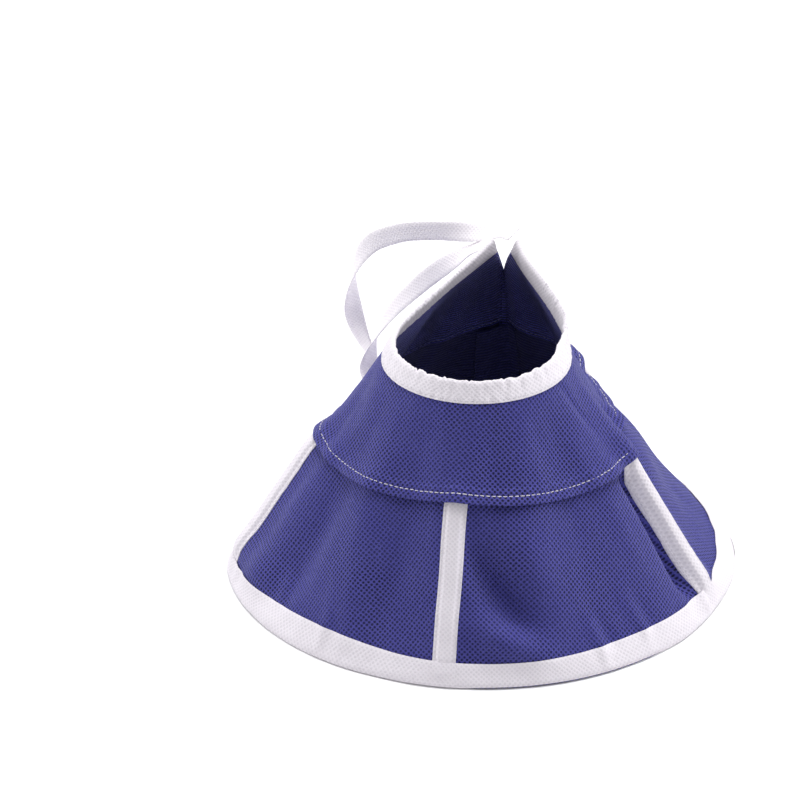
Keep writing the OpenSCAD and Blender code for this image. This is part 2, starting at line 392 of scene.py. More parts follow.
def ring_faces(tubes, count, sides):
    """The faces of closed tubes of count rings each: first all the quads between rings, then the ends."""
    one = np.arange(count * sides).reshape(count, sides)
    after = np.roll(one, -1, axis=1)
    quads = np.stack([one[:-1], after[:-1], after[1:], one[1:]], -1).reshape(-1, 4)
    starts = np.arange(tubes)[:, None, None] * count * sides
    ends = np.stack([one[0, ::-1], one[-1]]) + starts
    return (quads + starts).reshape(-1, 4).tolist() + ends.reshape(-1, sides).tolist()


def tube(name, rings, uv, material):
    """A closed strip through rings of points, with flat ends."""
    return new_object(name, rings, ring_faces(1, *rings.shape[:2]), uv, material)


def path_width(path):
    """The distance along a tape's path to each of its points."""
    return np.concatenate([[0], np.cumsum(np.linalg.norm(np.diff(path, axis=0), axis=1))])


def offset_path(path, t):
    """The path of a tape's other face, t from the first; a point is (out from the wall, along the wall)."""
    path = np.asarray(path, float)
    along = unit(np.gradient(path, axis=0))
    return path + t * np.stack([-along[:, 1], along[:, 0]], -1)


def stitch_run(name, start, end, up, material, radius):
    """White thread: one small rounded stitch from each start to each end, its ends pulled into the cloth."""
    rings, sides = 9, 8
    t = np.linspace(-1, 1, rings)
    swell = np.sqrt(np.maximum(0.0, 1 - np.abs(t) ** 5)) * radius + 0.00002
    a = np.linspace(0, 2 * math.pi, sides, endpoint=False)
    along = end - start
    length = np.linalg.norm(along, axis=-1, keepdims=True)
    up = unit(up - along * (np.sum(up * along, -1, keepdims=True) / length**2))
    side = np.cross(along / length, up)
    middle = (start + end) / 2
    sink = -radius * 1.1 * t**4
    points = (
        middle[:, None, None] + along[:, None, None] * (t[None, :, None, None] / 2)
        + up[:, None, None] * (sink[:, None] + swell[:, None] * np.cos(a)[None, :] * 0.8)[None, :, :, None]
        + side[:, None, None] * (swell[:, None] * np.sin(a)[None, :])[None, :, :, None]
    )
    count = len(start)
    u = np.broadcast_to((t[:, None] * 0.0011), (count, rings, sides))
    w = np.broadcast_to((a[None, :] * radius), (count, rings, sides))
    faces = ring_faces(count, rings, sides)
    return new_object(name, points, faces, np.stack([u, w], -1), material, sharp=80)


# Materials


class Surface:
    """A material being built: add() makes a node, and feeds its inputs from sockets or plain values."""

    def __init__(self, name):
        self.material = bpy.data.materials.new(name)
        self.material.use_nodes = True
        self.tree = self.material.node_tree
        self.shader = self.tree.nodes["Principled BSDF"]

    def feed(self, node, inputs):
        """Each input is linked from a socket, or set to a value."""
        for key, value in inputs.items():
            socket = node.inputs[key]
            if isinstance(value, bpy.types.NodeSocket):
                self.tree.links.new(value, socket)
            else:
                socket.default_value = value

    def add(self, kind, inputs=None, out=0, **settings):
        """A new node's output number out."""
        node = self.tree.nodes.new("ShaderNode" + kind)
        for key, value in settings.items():
            setattr(node, key, value)
        self.feed(node, inputs or {})
        return node.outputs[out]

    def cloth_point(self, pitch, turn):
        """The flat pattern's coordinates, in repeats of pitch, turned on the cloth."""
        uv = self.add("UVMap", uv_map="UVMap")
        return self.add("Mapping", {"Vector": uv, "Scale": (1 / pitch, 1 / pitch, 1),
                                    "Rotation": (0, 0, math.radians(turn))})

    def noise(self, size, detail=2.0, stretch=(1, 1), rough=0.5):
        """Noise on the flat pattern, with spots of about size, shortened along each axis by stretch."""
        uv = self.add("UVMap", uv_map="UVMap")
        point = self.add("Mapping", {"Vector": uv, "Scale": (stretch[0] / size, stretch[1] / size, 1)})
        return self.add("TexNoise", {"Vector": point, "Scale": 1.0, "Detail": detail, "Roughness": rough},
                        noise_dimensions="2D")

    def fit(self, value, low, high, to_low, to_high):
        """The value eased from low..high to to_low..to_high."""
        return self.add("MapRange", {"Value": value, "From Min": low, "From Max": high,
                                     "To Min": to_low, "To Max": to_high}, interpolation_type="SMOOTHSTEP")

    def sum(self, a, b):
        return self.add("Math", {0: a, 1: b}, operation="ADD")

    def times(self, a, b):
        return self.add("Math", {0: a, 1: b}, operation="MULTIPLY")

    def mix(self, factor, a, b):
        """Colour a, going over to b with the factor. A colour Mix has them at inputs 6 and 7 and output 2."""
        node = self.tree.nodes.new("ShaderNodeMix")
        node.data_type = "RGBA"
        self.feed(node, {0: factor, 6: a, 7: b})
        return node.outputs[2]

    def bump(self, height, depth):
        return self.add("Bump", {"Height": height, "Distance": depth, "Strength": 1.0})

    def finish(self, **inputs):
        """The material, with the shader's inputs given by name."""
        self.feed(self.shader, {key.replace("_", " "): value for key, value in inputs.items()})
        return self.material


def rgb(r, g, b):
    return (r, g, b, 1.0)


def embossed(name, dot, ground, tint, pitch, depth, contrast, rough, sheen):
    """Spunbond cloth: rows of small pressed dots on the diagonal, loose fibres between them, uneven shade."""
    s = Surface(name)
    cell = s.add("TexVoronoi", {"Vector": s.cloth_point(pitch, 45), "Scale": 1.0, "Randomness": 0.10},
                 voronoi_dimensions="2D")
    raised = s.fit(cell, 0.17, 0.48, 0.0, 1.0)
    fibre = s.noise(0.00042, 3.0, (1, 0.55), 0.65)
    cross_fibre = s.noise(0.00050, 2.0, (0.5, 1), 0.6)
    shade = s.noise(0.045, 3.0)
    fleck = s.fit(s.noise(0.0016, 1.0), 0.70, 0.78, 0.0, 1.0)
    # The pressed dots are painted much darker than the ground: partly the cloth's own darker bond points,
    # partly painted shade in the pits.
    colour = s.mix(s.times(raised, contrast), dot, ground)
    colour = s.mix(s.fit(shade, 0.30, 0.70, 0.0, 0.35), colour, tint)
    colour = s.mix(s.fit(fibre, 0.55, 0.80, 0.0, 0.30), colour, ground)
    colour = s.mix(s.times(fleck, 0.35), colour, tint)
    height = s.sum(raised, s.times(s.sum(fibre, cross_fibre), 0.35))
    rub = s.noise(0.012, 4.0)
    return s.finish(
        Base_Color=colour,
        Roughness=s.sum(s.fit(rub, 0.25, 0.75, rough - 0.07, rough + 0.09), s.times(fibre, 0.06)),
        Normal=s.bump(height, depth),
        Sheen_Weight=sheen,
        Sheen_Tint=s.mix(0.22, ground, rgb(1.0, 1.0, 1.0)),
        Sheen_Roughness=0.40,
        Specular_IOR_Level=0.20,
    )


def ridged(name, dark, light, pitch, depth):
    """The back of the cloth: fine level ridges with broken fibres."""
    s = Surface(name)
    wobble = s.noise(0.006, 2.0)
    uv = s.add("UVMap", uv_map="UVMap")
    parts = s.add("SeparateXYZ", {0: uv}, out=1)
    phase = s.sum(s.times(parts, 2 * math.pi / pitch), s.times(wobble, 3.0))
    ridge = s.fit(s.add("Math", {0: phase}, operation="SINE"), -0.7, 0.9, 0.0, 1.0)
    cell = s.add("TexVoronoi", {"Vector": s.cloth_point(pitch * 0.8, 45), "Scale": 1.0, "Randomness": 0.1},
                 voronoi_dimensions="2D")
    pits = s.fit(cell, 0.15, 0.45, 0.0, 1.0)
    fibre = s.noise(0.00055, 3.0, (0.6, 1), 0.65)
    height = s.sum(s.sum(ridge, s.times(pits, 0.5)), s.times(fibre, 0.5))
    shade = s.noise(0.05, 2.0)
    colour = s.mix(s.fit(height, 0.4, 1.9, 0.0, 1.0), dark, light)
    colour = s.mix(s.fit(shade, 0.35, 0.70, 0.0, 0.4), colour, dark)
    return s.finish(
        Base_Color=colour,
        Roughness=s.fit(fibre, 0.2, 0.8, 0.66, 0.84),
        Normal=s.bump(height, depth),
        Sheen_Weight=0.12,
        Sheen_Roughness=0.5,
        Specular_IOR_Level=0.25,
    )


def thread_material(name, dark, light):
    """Twisted thread with a little fuzz."""
    s = Surface(name)
    ply = s.add("TexWave", {"Vector": s.cloth_point(0.0005, 35), "Scale": 1.0, "Distortion": 0.6})
    fuzz = s.noise(0.0002, 2.0)
    colour = s.mix(ply, dark, light)
    return s.finish(Base_Color=colour, Roughness=s.fit(fuzz, 0.2, 0.8, 0.45, 0.65),
                    Normal=s.bump(s.sum(ply, s.times(fuzz, 0.4)), 0.00008), Sheen_Weight=0.2)


def stay_material():
    """Milky plastic with fine scratches."""
    s = Surface("milky_plastic")
    place = s.add("TexCoord", out=3)
    grain = s.add("TexNoise", {"Vector": place, "Scale": 300.0, "Detail": 4.0})
    scratch = s.add("TexNoise", {"Vector": place, "Scale": 1500.0, "Detail": 2.0})
    colour = s.mix(grain, rgb(0.70, 0.74, 0.78), rgb(0.84, 0.86, 0.88))
    return s.finish(Base_Color=colour, Roughness=s.fit(scratch, 0.3, 0.7, 0.28, 0.48),
                    Normal=s.bump(scratch, 0.00004), Subsurface_Weight=0.1)


def grip_material(name, size, depth, dark, light):
    """Hook or loop tape: a field of small tufts."""
    s = Surface(name)
    tuft = s.add("TexVoronoi", {"Vector": s.cloth_point(size, 20), "Scale": 1.0, "Randomness": 0.65},
                 voronoi_dimensions="2D")
    fuzz = s.noise(size * 0.35, 4.0)
    height = s.sum(s.fit(tuft, 0.1, 0.6, 1.0, 0.0), s.times(fuzz, 0.7))
    colour = s.mix(s.fit(height, 0.3, 1.4, 0.0, 1.0), dark, light)
    return s.finish(Base_Color=colour, Roughness=s.fit(fuzz, 0.2, 0.8, 0.72, 0.92),
                    Normal=s.bump(height, depth), Sheen_Weight=0.35, Sheen_Roughness=0.6)


def floor_material():
    """A plain pale floor, a little uneven in tone."""
    s = Surface("pale_floor")
    uv = s.add("UVMap", uv_map="UVMap")
    soft = s.add("TexNoise", {"Vector": uv, "Scale": 6.0, "Detail": 3.0}, noise_dimensions="2D")
    colour = s.mix(soft, rgb(0.93, 0.93, 0.935), rgb(0.95, 0.95, 0.955))
    return s.finish(Base_Color=colour, Roughness=s.fit(soft, 0.3, 0.7, 0.62, 0.72), Specular_IOR_Level=0.2)


BLUE = embossed("blue_nonwoven", rgb(0.006, 0.006, 0.036), rgb(0.068, 0.067, 0.315), rgb(0.050, 0.050, 0.250),
                0.00189, 0.00050, 1.0, 0.70, 0.60)
WHITE = embossed("white_tape", rgb(0.70, 0.665, 0.715), rgb(0.81, 0.77, 0.82), rgb(0.76, 0.72, 0.77),
                 0.00178, 0.00012, 0.85, 0.74, 0.05)
# The ties are the same white tape as the bindings, with every colour painted about a sixth lighter: painted
# light.
TIE = embossed("tie_tape_painted_light", rgb(0.82, 0.78, 0.82), rgb(0.93, 0.89, 0.925), rgb(0.88, 0.84, 0.88),
               0.00178, 0.00012, 0.85, 0.74, 0.05)
# The cloth inside comes in two copies of one navy. It is painted lighter on the facing and the left wing's
# turned edge, for the light through the opening (painted light). It is painted darker on the lining and the
# underlap, for the shade deep inside (painted shade).
NAVY_PAINTED_LIGHT = ridged("navy_cloth_back_painted_light", rgb(0.014, 0.015, 0.085), rgb(0.125, 0.130, 0.560), 0.0018, 0.00045)
NAVY_PAINTED_SHADE = ridged("navy_lining_back_painted_shade", rgb(0.014, 0.015, 0.085), rgb(0.030, 0.031, 0.165), 0.0021, 0.00018)
THREAD = thread_material("white_thread", rgb(0.62, 0.58, 0.66), rgb(0.93, 0.91, 0.94))
SEAM_THREAD = thread_material("grey_blue_thread", rgb(0.10, 0.10, 0.24), rgb(0.34, 0.34, 0.58))
PLASTIC = stay_material()
LOOP = grip_material("loop_pile", 0.0007, 0.0005, rgb(0.010, 0.010, 0.035), rgb(0.055, 0.055, 0.150))
HOOK = grip_material("hook_pile", 0.0010, 0.0004, rgb(0.008, 0.008, 0.028), rgb(0.045, 0.045, 0.120))


# The frame: how pieces ride, and where the folds are

JOINTS = {j["name"]: j for j in frame["joints"]}
# The width of cloth that bends at a fold
BEND = 0.026


def fold_line(joint, phi, away):
    """Where a fold's cloth starts to bend, on the hinge, and where it is with the child, BEND into it."""
    at = np.array(JOINTS[joint]["pos_m"])
    axis = unit(np.array(JOINTS[joint]["axis"]))
    half = np.array([0.5])
    along = (wall(np.array([phi + away]), half) - wall(np.array([phi]), half))[0]
    along = unit(along - axis * (along @ axis))
    return at, at + along * BEND


FOLDS = {
    "front_left": ("front_right", "front_left", *fold_line("front_fold", -4.0, -2.0)),
    "back_left": ("front_left", "left_wing", *fold_line("left_wing_open", -RIB_STEP - 4, -2.0)),
    "back_right": ("front_right", "right_wing", *fold_line("right_wing_open", RIB_STEP + 4, 2.0)),
}


def fasten(obj, body, slot, *nodes):
    """The piece stands for the CAD nodes, if it has any, and rides on one body."""
    if nodes:
        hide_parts(*nodes)
    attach(obj, body)


def sew(obj, gore, slot, *nodes):
    """The piece rides on its gore's body; on a gore that has a fold line it is left where it is."""
    if nodes:
        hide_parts(*nodes)
    if gore in FOLDS:
        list(FOLDS[gore])
        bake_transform(obj)
    else:
        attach(obj, gore)
    return obj


def declare_sheet(obj, gore, phi, v, rests_on, with_pieces=()):
    """Works out the cloth's flat pattern laid straight, and does nothing more with it."""
    uv = flat(phi, v, sum(GORES[gore]) / 2)
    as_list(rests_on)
    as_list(with_pieces)


# Ties


TIE_ROUTES = {
    "tie_right": ("right_wing", [
        (6, 91, 150), (0, 95, 150), (-10, 98, 147), (-24, 104, 144), (-40, 110, 141), (-56, 116, 137),
        (-67, 121, 132), (-79, 127, 124), (-88, 133, 111), (-93, 140, 93), (-94, 148, 72),
        (-90, 156, 50), (-82, 164, 30), (-69, 172, 12), (-53, 178, 3), (-35, 182, 1), (-16, 184, 1),
        (3, 184, 1), (21, 182, 1)]),
    "tie_left": ("left_wing", [
        (-8, 89, 145), (-14, 92, 141), (-22, 97, 134), (-33, 103, 124), (-43, 108, 114),
        (-53, 112, 103), (-63, 116, 91), (-72, 120, 77), (-79, 125, 61), (-82, 131, 43),
        (-80, 138, 26), (-73, 146, 12), (-60, 153, 3), (-44, 158, 1), (-26, 161, 1), (-8, 162, 1),
        (10, 163, 1), (27, 162, 1)]),
}
TIE_W = 0.011
TIE_T = 0.0009
TIE_EDGE = 0.0004
# A tie lies flat on the floor, turns on edge as it rises, and is twisted where it leaves the collar
TIE_ON_EDGE, TIE_FLAT = 0.130, 0.030
TIE_TWIST = math.radians(66)


def smooth_route(points, step):
    """A smooth curve through the points, resampled evenly."""
    p = np.array(points, float) * MM
    p = np.concatenate([[2 * p[0] - p[1]], p, [2 * p[-1] - p[-2]]])
    t = np.linspace(0, 1, 24, endpoint=False)[:, None]
    curve = [
        0.5 * (2 * b + (c - a) * t + (2 * a - 5 * b + 4 * c - d) * t**2 + (3 * b - a - 3 * c + d) * t**3)
        for a, b, c, d in zip(p[:-3], p[1:-2], p[2:-1], p[3:])
    ]
    curve = np.concatenate([*curve, p[-2:-1]])
    run = path_width(curve)
    even = np.linspace(0, run[-1], int(run[-1] / step) + 1)
    return np.stack([np.interp(even, run, curve[:, k]) for k in range(3)], -1), even


def make_tie(name, body, route):
    """A flat tape tie along its route."""
    line, run = smooth_route(route, 0.0016)
    along = unit(np.gradient(line, axis=0))
    flat_side = unit(np.cross(along, [0.0, 0.0, 1.0]))
    up = np.cross(flat_side, along)
    turn = np.clip((TIE_ON_EDGE - line[:, 2:]) / (TIE_ON_EDGE - TIE_FLAT), 0, 1) * math.pi / 2
    turn = turn + (1 - smooth(run[:, None], 0.006, 0.050)) * TIE_TWIST
    side = up * np.cos(turn) + flat_side * np.sin(turn)
    face = np.cross(along, side)
    half, t = TIE_W / 2, TIE_T / 2
    upper = [(half, 0.3 * t), (half - TIE_EDGE, t), (half * 0.55, 0.8 * t), (0, 0.7 * t),
             (-half * 0.55, 0.8 * t), (TIE_EDGE - half, t), (-half, 0.3 * t)]
    ring = upper + [(x, -y) for x, y in reversed(upper)]
    rings = np.stack([line + side * x + face * y for x, y in ring], 1)
    rings[..., 2] = np.maximum(rings[..., 2], 0.00005)
    uv = np.stack([np.stack([np.full_like(run, x), run], -1) for x, _ in ring], 1)
    obj = tube(name + "_tape", rings, uv, TIE)
    fasten(obj, body, "white_tape", name)


# Cloth pieces


def make_cloth(part, gore, grid, levels, uv, material, slot, rests_on, with_pieces=()):
    """A sheet of cloth over a gore, between an outer and an inner level above the wall."""
    obj = shell(part + "_" + gore + "_cloth", *(layer(*grid, level) for level in levels), uv, material)
    sew(obj, gore, slot, part + "_" + gore)
    declare_sheet(obj, gore, *grid, rests_on, with_pieces)
    return obj


# The angle at which each skirt gore's cloth lies straight on its grain
GRAIN = {"front_right": 8.0, "front_left": 20.0, "back_right": 125.0, "back_left": -125.0}
# The skirt and the lining end inside the hem tape
CLOTH_END = 0.9651


def make_skirt(gore, hem):
    """The blue outer cloth, from under the yoke down into the hem tape."""
    v = np.arange(0.30, CLOTH_END, 1.7 * MM / SLANT)
    phi, v = gore_grid(gore, v, 0.3 * MM, 1.7 * MM)
    return make_cloth("skirt", gore, (phi, v), (0.45 * MM, 0.0), flat(phi, v, GRAIN[gore]), BLUE,
                      "blue_fabric", ["rib_stay_front_strip"], [hem])


def make_lining(gore, skirt):
    """The navy cloth inside the skirt, painted darker than the facing for the shade deep inside the cone,
    from the facing's lower edge down into the hem tape.
    """
    v = np.arange(0.385, CLOTH_END, 2.4 * MM / SLANT)
    phi, v = gore_grid(gore, v, 2.2 * MM, 2.4 * MM)
    make_cloth("lining", gore, (phi, v), (-0.15 * MM, -0.60 * MM), level_map(phi, v), NAVY_PAINTED_SHADE,
               "navy_lining", [skirt.name])


def make_facing(gore, yoke):
    """The ridged cloth inside the yoke; its lower edge lies over the lining."""
    v = np.concatenate([np.arange(0.03, 0.38, 2.2 * MM / SLANT), np.linspace(0.381, 0.402, 6)])
    phi, v = gore_grid(gore, v, 2.6 * MM, 2.2 * MM)
    lift = 0.45 * MM * smooth(v, 0.33, 0.40) + 0.25 * MM * smooth(v, 0.392, 0.402)
    make_cloth("facing", gore, (phi, v), (-0.20 * MM - lift, -0.66 * MM - lift), level_map(phi, v), NAVY_PAINTED_LIGHT,
               "navy_lining", [yoke.name])


def make_facing_stitches(gore):
    """The seam that holds the facing's lower edge to the lining."""
    low, high = GORES[gore]
    degree = per_degree(0.39)
    count = int((high - low) * degree / (3.2 * MM))
    inset = 3.5 * MM / degree
    stop = np.linspace(low + inset * (low == -180), high - inset * (high == 180), count + 1)
    v = np.full(count, 0.391)

    def at(phi):
        return layer(phi, v, -1.42 * MM), -outward(phi, v)

    start, up = at(stop[:-1])
    end, _ = at(stop[1:] - 0.9 * MM / degree)
    sew(stitch_run("facing_stitches_" + gore, start, end, up, SEAM_THREAD, 0.00020), gore, "navy_lining")


# How far the topstitch runs above the yoke's free edge, the length of a stitch with its gap, and the gap
STITCH_UP = 0.0048
STITCH_PITCH = 2.75 * MM
STITCH_GAP = 0.52 * MM
# The yoke's seam is turned under at the crease behind the right rib, for this far
HIDDEN_SEAM = 0.046


def yoke_level(phi, v, down):
    """How far the yoke's inner face stands out; down is the distance to its free lower edge."""
    rib = rib_distance(phi, v)
    base = 0.10 * MM + 0.50 * MM * smooth(v, 0.20, 0.29)
    over_rib = 1.65 * MM * bell(rib, 6.5 * MM) * smooth(v, 0.27, 0.375)
    flare = bell(down, 7 * MM) * (1.9 + 0.6 * waves(phi, v * 0, 33, 7, 0.045, 0.020, 1.0)) * MM
    return base + over_rib + np.maximum(flare, 0.0)


def make_yoke(gore, skirt, neck):
    """The blue band round the top, with a thicker turned hem along its free lower edge."""
    down = np.concatenate([np.linspace(56, 9, 25), np.linspace(8.6, 0.8, 20), [0.5, 0.25, 0.0]]) * MM
    share = 1 - down / down[0]
    phi_end = gore_grid(gore, [YOKE_W / SLANT], 0.3 * MM, 1.7 * MM)[0]
    v = 0.03 + (yoke_end(phi_end) - 0.03) * share[:, None]
    phi, v = gore_grid(gore, v, 0.3 * MM, 1.7 * MM)
    down = np.broadcast_to(down[:, None], v.shape)
    inner = yoke_level(phi, v, down)
    hem = 1 - smooth(down, 7.5 * MM, 8.6 * MM)
    thick = 0.5 * MM + 0.45 * MM * hem
    run = phi * per_degree(v)
    pinch = bell(down - STITCH_UP, 0.9 * MM)
    pucker = bell(down - STITCH_UP, 3.2 * MM) * 0.16 * MM * (
        np.sin(run / (1.15 * MM)) * 0.5 + waves(phi, v * 0, 41, 8, 0.012, 0.005, 1.0) * 0.6)
    thick = thick - 0.34 * MM * pinch + pucker * hem
    thick = thick * np.where(down < 0.1 * MM, 0.55, np.where(down < 0.3 * MM, 0.85, 1.0))
    return make_cloth("yoke", gore, (phi, v), (inner + thick, inner), flat(phi, v, 0.0), BLUE,
                      "blue_fabric", [skirt.name], [neck])


def make_yoke_stitches(gore):
    """The white topstitch above the yoke's free edge, with its even short gaps."""
    low, high = GORES[gore]
    phi_fine = np.linspace(low, high, 4000)
    v = yoke_end(phi_fine) - STITCH_UP / SLANT
    run = np.concatenate([[0], np.cumsum(np.diff(phi_fine) * per_degree(v)[1:])])
    count = int(run[-1] / STITCH_PITCH)
    pitch = run[-1] / count
    s = np.arange(count) * pitch + STITCH_GAP / 2
    rng = np.random.RandomState(int(abs(low)) + 3)
    jitter = rng.uniform(-0.12, 0.12, (2, count)) * MM
    level = 0.78 * MM

    def at(run_at, shift):
        phi = np.interp(run_at, run, phi_fine)
        v = yoke_end(phi) - (STITCH_UP + shift) / SLANT
        down = np.full_like(phi, STITCH_UP)
        return layer(phi, v, yoke_level(phi, v, down) + level), outward(phi, v)

    if gore == "back_right":
        s, jitter = s[s > HIDDEN_SEAM], jitter[:, s > HIDDEN_SEAM]
    start, up = at(s, jitter[0])
    end, _ = at(s + pitch - STITCH_GAP, jitter[1])
    sew(stitch_run("yoke_stitches_" + gore, start, end, up, THREAD, 0.00025), gore, "white_tape")


# The thickness of the binding tapes
TAPE_T = 0.42 * MM
# The neck tape over the edge, from its outer free edge to its inner one: (out of the wall, below the edge)
NECK_PATH = np.array([
    (1.05, 11.4), (1.22, 10.9), (1.32, 9.5), (1.38, 8.0), (1.42, 6.5), (1.48, 5.0), (1.55, 3.6), (1.60, 2.4),
    (1.56, 1.4), (1.36, 0.6), (0.98, 0.05), (0.45, -0.25), (-0.15, -0.25), (-0.70, 0.05), (-1.10, 0.6),
    (-1.32, 1.4), (-1.36, 2.4), (-1.34, 4.0), (-1.30, 6.0), (-1.26, 8.0), (-1.20, 9.8), (-1.10, 10.6)]) * MM


def make_binding(name, gore, path, face, thick, degree):
    """A tape folded over an edge. face() places one of its faces, and degree is its length to a degree."""
    outer, phi = face(path)
    inner, _ = face(offset_path(path, thick))
    uv = np.stack([phi * degree, np.broadcast_to(path_width(path)[:, None], phi.shape)], -1)
    obj = shell(name + gore + "_tape", outer, inner, uv, WHITE)
    return sew(obj, gore, "white_tape", name + gore)


def make_neck_binding(gore):
    """The white tape over the neck edge, puffed and creased a little except at the front and the notch."""
    def face(path):
        n, s = path[:, 0], path[:, 1]
        phi, v = gore_grid(gore, s / SLANT, 1.2 * MM, 1.0 * MM)
        fold = bell(s, 3.0 * MM)[:, None]
        outer = smooth(n, -0.2 * MM, 0.4 * MM)[:, None]
        calm = smooth(180 - np.abs(phi), 8.0, 26.0) * smooth(150 - np.abs(phi), 0.0, 60.0) * 0.75 + 0.25
        coarse = waves(phi, v * 0, 51, 8, 0.018, 0.008, 1.0)
        fine = waves(phi, v * 0, 57, 9, 0.007, 0.0035, 1.0)
        patches = np.maximum(0.0, waves(phi, v * 0, 58, 4, 0.05, 0.02, 1.0))
        rise = fold * calm * (0.22 * MM * coarse + 0.24 * MM * fine * patches)
        puff = calm * MM * (
            0.16 * coarse * np.exp(-np.maximum(s, 0) / (5 * MM))[:, None]
            + 0.10 * waves(phi, s[:, None] / SLANT, 61, 10, 0.010, 0.005, 1.5))
        legs = np.where(outer > 0.5, 1.0, -1.0) * smooth(np.abs(n), 0.2 * MM, 0.9 * MM)[:, None]
        level = n[:, None] + puff * legs
        side = wall(phi, v) + level[..., None] * outward(phi, np.maximum(v, 0.0))
        down = unit(hem_point(phi) - neck_point(phi))
        return side - down * rise[..., None], phi

    return make_binding("neck_binding_", gore, NECK_PATH, face, -TAPE_T, NECK_PER_DEGREE * 1.03)


# The hem tape under the edge, from its outer free edge to its inner one: (out from the wall, up from the hem)
HEM_PATH = np.array([
    (0.78, 11.9), (0.96, 11.5), (1.02, 10.4), (1.05, 9.0), (1.08, 7.5), (1.12, 6.0), (1.16, 4.5), (1.20, 3.0),
    (1.20, 1.8), (1.05, 0.9), (0.70, 0.35), (0.20, 0.10), (-0.35, 0.12), (-0.80, 0.45), (-1.08, 1.1),
    (-1.20, 2.2), (-1.22, 4.0), (-1.20, 6.0), (-1.16, 8.0), (-1.10, 10.0), (-0.98, 11.4)]) * MM


# The larger puckers of the hem tape, as (angle, height in mm)
HEM_PUCKERS = (36.0, 0.9), (48.0, 0.7), (70.0, 1.1), (-30.0, 0.5), (-66.0, 0.8)
# Nothing of the hem goes below this height
CLEAR = 0.00003


def hem_puckers(phi, up):
    """Ripples of the hem tape, which pulls the cloth's edge in a little."""
    out = (0.20 * waves(phi, np.zeros_like(phi), 71, 8, 0.030, 0.012, 1.0)
           + 0.14 * waves(phi, up / SLANT, 73, 10, 0.014, 0.006, 1.2))
    for at, size in HEM_PUCKERS:
        x = (phi - at) * HEM_PER_DEGREE
        out = out + size * bell(x, 2.4 * MM) - 0.8 * size * bell(x - 5 * MM, 2.8 * MM)
    return out * MM * smooth(180 - np.abs(phi), 0.5, 4.0)


def hem_spread(phi, n):
    """The tape's outer leg is wider than its inner one where it was folded off centre."""
    wide = 0.28 * bell(phi + 30, 19) + 0.12 * bell(phi - 46, 17) - 0.16 * bell(phi + 68, 12)
    return 1 + wide * smooth(n, -0.4 * MM, 0.6 * MM)


def hem_lift(phi):
    """How far the tape is held off the floor by the cloth that peeps out below it."""
    return 0.55 * MM * smooth(phi, 0.0, 10.0) * (1 - smooth(phi, 46.0, 56.0))


def hem_surface(phi, n, up):
    """A point of the hem tape; n and up as in HEM_PATH. Nothing goes below the floor."""
    up = up * hem_spread(phi, n) + hem_lift(phi) * (1 - smooth(up, 1 * MM, 11 * MM))
    v = 1 - up / SLANT
    rib = rib_distance(phi, v)
    over_rib = 0.85 * MM * bell(rib, 5.5 * MM) * smooth(up, 1.5 * MM, 7 * MM)
    soft = hem_puckers(phi, up) * smooth(up, 0.5 * MM, 5 * MM) * 0.45
    level = n + (over_rib + soft) * smooth(n, -0.4 * MM, 0.6 * MM) + soft * 0.5
    point = wall(phi, v) + (level + relief(phi, v))[..., None] * outward(phi, np.clip(v, 0, 1))
    point[..., 2] = np.maximum(point[..., 2], CLEAR)
    return point


def make_hem_binding(gore):
    """The white tape under the hem."""
    def face(path):
        phi, v = gore_grid(gore, 1 - path[:, 1] / SLANT, 0.5 * MM, 1.4 * MM)
        return hem_surface(phi, np.broadcast_to(path[:, :1], phi.shape), (1 - v) * SLANT), phi

    return make_binding("hem_binding_", gore, HEM_PATH, face, TAPE_T, HEM_PER_DEGREE * 0.97)


def make_hem_peep():
    """The thin edge of blue cloth that shows below the tape at the front right."""
    phi, v = gore_grid("front_right", 1 - np.linspace(4.0, 0.1, 9) * MM / SLANT, 0.0, 1.4 * MM)
    phi = 1.0 + phi * 54.0 / RIB_STEP
    up = (1 - v) * SLANT
    obj = shell("hem_edge_cloth", layer(phi, v, 0.55 * MM), layer(phi, v, 0.15 * MM),
                np.stack([phi * HEM_PER_DEGREE, up], -1), BLUE)
    fasten(obj, "front_right", "blue_fabric")


def make_hem_join():
    """The lapped end of the hem tape beside the front rib, cut on the slant."""
    rows, cols = 14, 26
    up = (np.linspace(11.7, 0.9, rows) * MM)[:, None] * np.ones((1, cols))
    k = np.linspace(0, 1, cols)[None, :] * np.ones((rows, 1))
    drop = 1 - up / (11.7 * MM)
    phi = (-1.2 - 7.4 * drop) * (1 - k) + (3.2 + 0.6 * drop) * k
    base = np.interp(-up, -HEM_PATH[:9, 1], HEM_PATH[:9, 0])
    lift = 0.60 * MM * (1 - smooth(k, 0.80, 1.0) * 0.85)
    outer = hem_surface(phi, base + lift + 0.05 * MM, up)
    inner = hem_surface(phi, base + 0.03 * MM, up)
    uv = np.stack([phi * HEM_PER_DEGREE, up + 0.003], -1)
    obj = shell("hem_tape_join", outer, inner, uv, WHITE)
    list(FOLDS["front_left"])
    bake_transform(obj)


# How far the middle of a stay stands out of the wall, and where it starts and ends down it
STAY_N = 0.00110
STAY_FROM, STAY_TO = 0.385, 0.915
# Each rib's angle, the body it rides on, and how strongly its stay bulges the tape
RIB_BODIES = {
    "front": (0.0, "front_right", 0.25),
    "right": (RIB_STEP, "front_right", 1.0),
    "left": (-RIB_STEP, "front_left", 0.5),
    "back_right": (2 * RIB_STEP, "right_wing", 0.4),
    "back_left": (-2 * RIB_STEP, "left_wing", 0.4),
}


